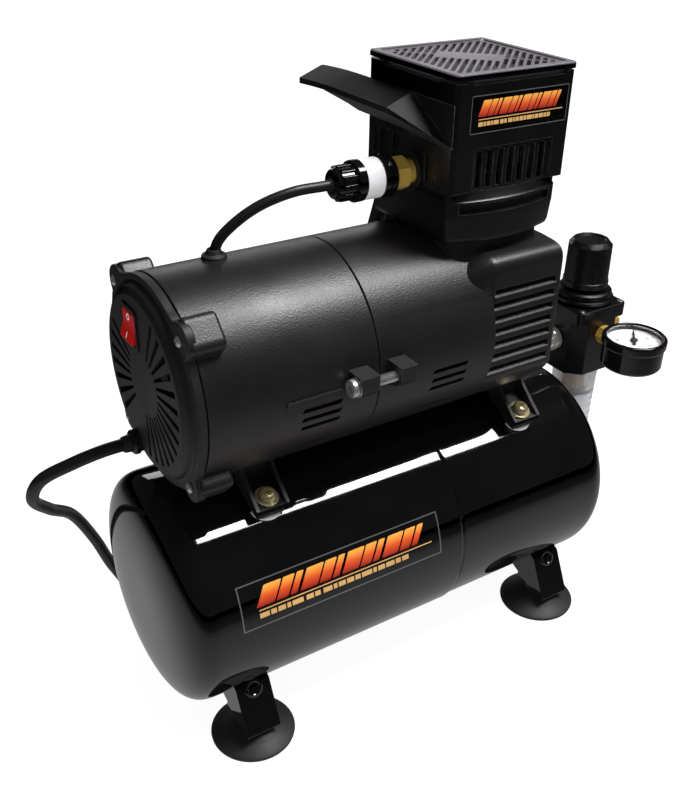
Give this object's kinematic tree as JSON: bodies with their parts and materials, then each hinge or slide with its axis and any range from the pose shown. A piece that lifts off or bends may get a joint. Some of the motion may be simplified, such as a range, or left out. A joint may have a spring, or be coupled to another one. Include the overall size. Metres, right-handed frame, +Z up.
{
  "type": "airbrush compressor",
  "caption": "Small piston air compressor for an airbrush: cylindrical tank on suction feet, motor with a boxy pump head and carry handle, filter regulator with gauge, pressure switch.",
  "frame": {"origin": "middle of the bounding box in plan, on the floor under the suction feet", "axes": "+X along the tank and motor towards the filter regulator; +Y to the rear, where the air hose and safety valve are; +Z up"},
  "size_m": [0.3654, 0.1546, 0.3144],
  "materials": {
    "gloss_black_paint": "high gloss black enamel",
    "satin_black_paint": "satin black, finely textured",
    "black_plastic": "satin black moulded plastic",
    "black_rubber": "matt black rubber",
    "red_plastic": "clear glossy red",
    "steel": "bright steel",
    "nickel": "nickel plated",
    "yellow_zinc": "yellow zinc plated",
    "brass": "machined brass",
    "aluminium": "cast and machined",
    "motor_core": "steel laminations with copper windings",
    "clear_plastic": "clear moulded plastic",
    "sintered_bronze": "porous sintered bronze"
  },
  "bodies": {
    "compressor": {"tank_shell": "gloss_black_paint", "motor_shell_left": "satin_black_paint", "motor_shell_right": "satin_black_paint", "front_cover": "satin_black_paint", "outlet_elbow": "satin_black_paint", "end_cap": "black_plastic", "switch_frame": "black_plastic", "cord_gland": "black_plastic", "head_base": "black_plastic", "head_shroud": "black_plastic", "top_grille": "black_plastic", "head_fan_frame": "black_plastic", "carry_handle": "black_plastic", "pressure_switch": "black_plastic", "regulator_body": "black_plastic", "gauge_case": "black_plastic", "suction_foot_front_left": "black_rubber", "suction_foot_front_right": "black_rubber", "suction_foot_rear_left": "black_rubber", "suction_foot_rear_right": "black_rubber", "vibration_pad_front_left": "black_rubber", "vibration_pad_front_right": "black_rubber", "vibration_pad_rear_left": "black_rubber", "vibration_pad_rear_right": "black_rubber", "power_cord": "black_rubber", "switch_cable": "black_rubber", "air_hose": "black_rubber", "clamp_screw_front": "steel", "clamp_screw_rear": "steel", "bearing_rear": "steel", "bearing_front": "steel", "cylinder_sleeve": "steel", "inlet_nipple": "nickel", "pad_screw_front_left": "yellow_zinc", "pad_screw_front_right": "yellow_zinc", "pad_screw_rear_left": "yellow_zinc", "pad_screw_rear_right": "yellow_zinc", "switch_fitting": "brass", "check_valve": "brass", "safety_valve": "brass", "air_outlet": "brass", "gauge_stem": "brass", "cylinder_head": "aluminium", "stator": "motor_core", "filter_bowl": "clear_plastic", "gauge_lens": "clear_plastic", "filter_element": "sintered_bronze"},
    "motor_rotor": {"rotor": "steel", "cooling_fan": "black_plastic", "crank_disc": "steel"},
    "rod": {"connecting_rod": "aluminium"},
    "piston": {"piston": "aluminium"},
    "head_fan": {"head_fan": "black_plastic"},
    "rocker": {"rocker_switch": "red_plastic"},
    "adjusting_spindle": {"regulator_spindle": "steel"},
    "adjusting_knob": {"regulator_knob": "black_plastic"},
    "needle": {"gauge_pointer": "black_plastic"},
    "drain": {"drain_valve": "brass"},
    "pull_ring": {"safety_ring": "steel"},
    "bowl_button": {"bowl_drain": "black_plastic"}
  },
  "joints": [
    {"name": "motor_spin", "type": "hinge", "parent": "compressor", "child": "motor_rotor", "pos_m": [-0.00977, -0.00965, 0.189], "axis": [1, 0, 0], "continuous": true},
    {"name": "rod_swing", "type": "hinge", "parent": "motor_rotor", "child": "rod", "pos_m": [0.04148, -0.00965, 0.195], "axis": [1, 0, 0], "continuous": true},
    {"name": "piston_slide", "type": "slide", "parent": "compressor", "child": "piston", "axis": [0, 0, 1], "range_m": [-0.012, 0]},
    {"name": "head_fan_spin", "type": "hinge", "parent": "compressor", "child": "head_fan", "pos_m": [0.04148, -0.00965, 0.289], "axis": [0, 0, 1], "continuous": true},
    {"name": "rocker_tilt", "type": "hinge", "parent": "compressor", "child": "rocker", "pos_m": [-0.12777, -0.00065, 0.2135], "axis": [0, 1, 0], "range_deg": [-18, 0]},
    {"name": "knob_turn", "type": "hinge", "parent": "compressor", "child": "adjusting_spindle", "pos_m": [0.15023, 0.00035, 0.185], "axis": [0, 0, 1], "range_deg": [0, 1080]},
    {"name": "knob_lift", "type": "slide", "parent": "adjusting_spindle", "child": "adjusting_knob", "axis": [0, 0, 1], "range_m": [0, 0.004]},
    {"name": "gauge_needle", "type": "hinge", "parent": "compressor", "child": "needle", "pos_m": [0.15023, -0.04315, 0.153], "axis": [0, 0, 1], "range_deg": [-270, 0]},
    {"name": "drain_turn", "type": "hinge", "parent": "compressor", "child": "drain", "pos_m": [-0.00977, -0.00965, 0.01], "axis": [0, 0, 1], "range_deg": [0, 540]},
    {"name": "safety_pull", "type": "slide", "parent": "compressor", "child": "pull_ring", "axis": [0, 0.6157, 0.788], "range_m": [0, 0.002]},
    {"name": "bowl_drain_push", "type": "slide", "parent": "compressor", "child": "bowl_button", "axis": [0, 0, 1], "range_m": [0, 0.002]}
  ],
  "couplings": [
    {"joint": "rod_swing", "follows": "motor_spin", "ratio": -1}
  ]
}
